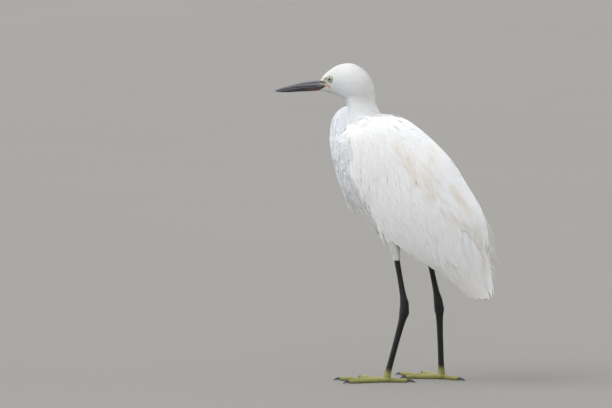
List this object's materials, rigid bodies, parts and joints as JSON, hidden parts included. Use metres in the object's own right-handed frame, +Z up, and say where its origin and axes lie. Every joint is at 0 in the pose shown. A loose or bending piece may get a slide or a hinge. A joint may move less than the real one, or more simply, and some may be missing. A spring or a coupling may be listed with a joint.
{
  "type": "little egret model",
  "caption": "Life-size still model of a white wading bird standing on both feet, neck drawn in, wings folded, with a dagger-like dark bill and long dark legs.",
  "frame": {"origin": "on the floor, under the middle of the outline seen from above", "axes": "+Z up, -X the way the bird faces, -Y its left side"},
  "size_m": [0.3152, 0.134, 0.4103],
  "materials": {
    "plumage": "soft white feathers with a faint warm wash on the back",
    "bill": "smooth horn, slate black, paler and pinkish at the base of the lower half",
    "eye": "clear wet gloss over a pale yellow iris and black pupil",
    "leg": "scaled skin, black, slightly glossy",
    "foot": "scaled skin, greenish yellow",
    "claw": "smooth dark horn"
  },
  "bodies": {
    "root": {"left_wing": "plumage", "right_wing": "plumage", "left_eye": "eye", "right_eye": "eye", "head": "plumage", "upper_neck": "plumage", "lower_neck": "plumage", "torso": "plumage", "upper_bill": "bill", "lower_bill": "bill", "tail": "plumage", "left_thigh": "plumage", "left_shin": "leg", "left_tarsus": "leg", "left_foot": "foot", "left_inner_toe": "foot", "left_inner_claw": "claw", "left_middle_toe": "foot", "left_middle_claw": "claw", "left_outer_toe": "foot", "left_outer_claw": "claw", "left_hind_toe": "foot", "left_hind_claw": "claw", "right_thigh": "plumage", "right_shin": "leg", "right_tarsus": "leg", "right_foot": "foot", "right_inner_toe": "foot", "right_inner_claw": "claw", "right_middle_toe": "foot", "right_middle_claw": "claw", "right_outer_toe": "foot", "right_outer_claw": "claw", "right_hind_toe": "foot", "right_hind_claw": "claw"}
  },
  "joints": []
}
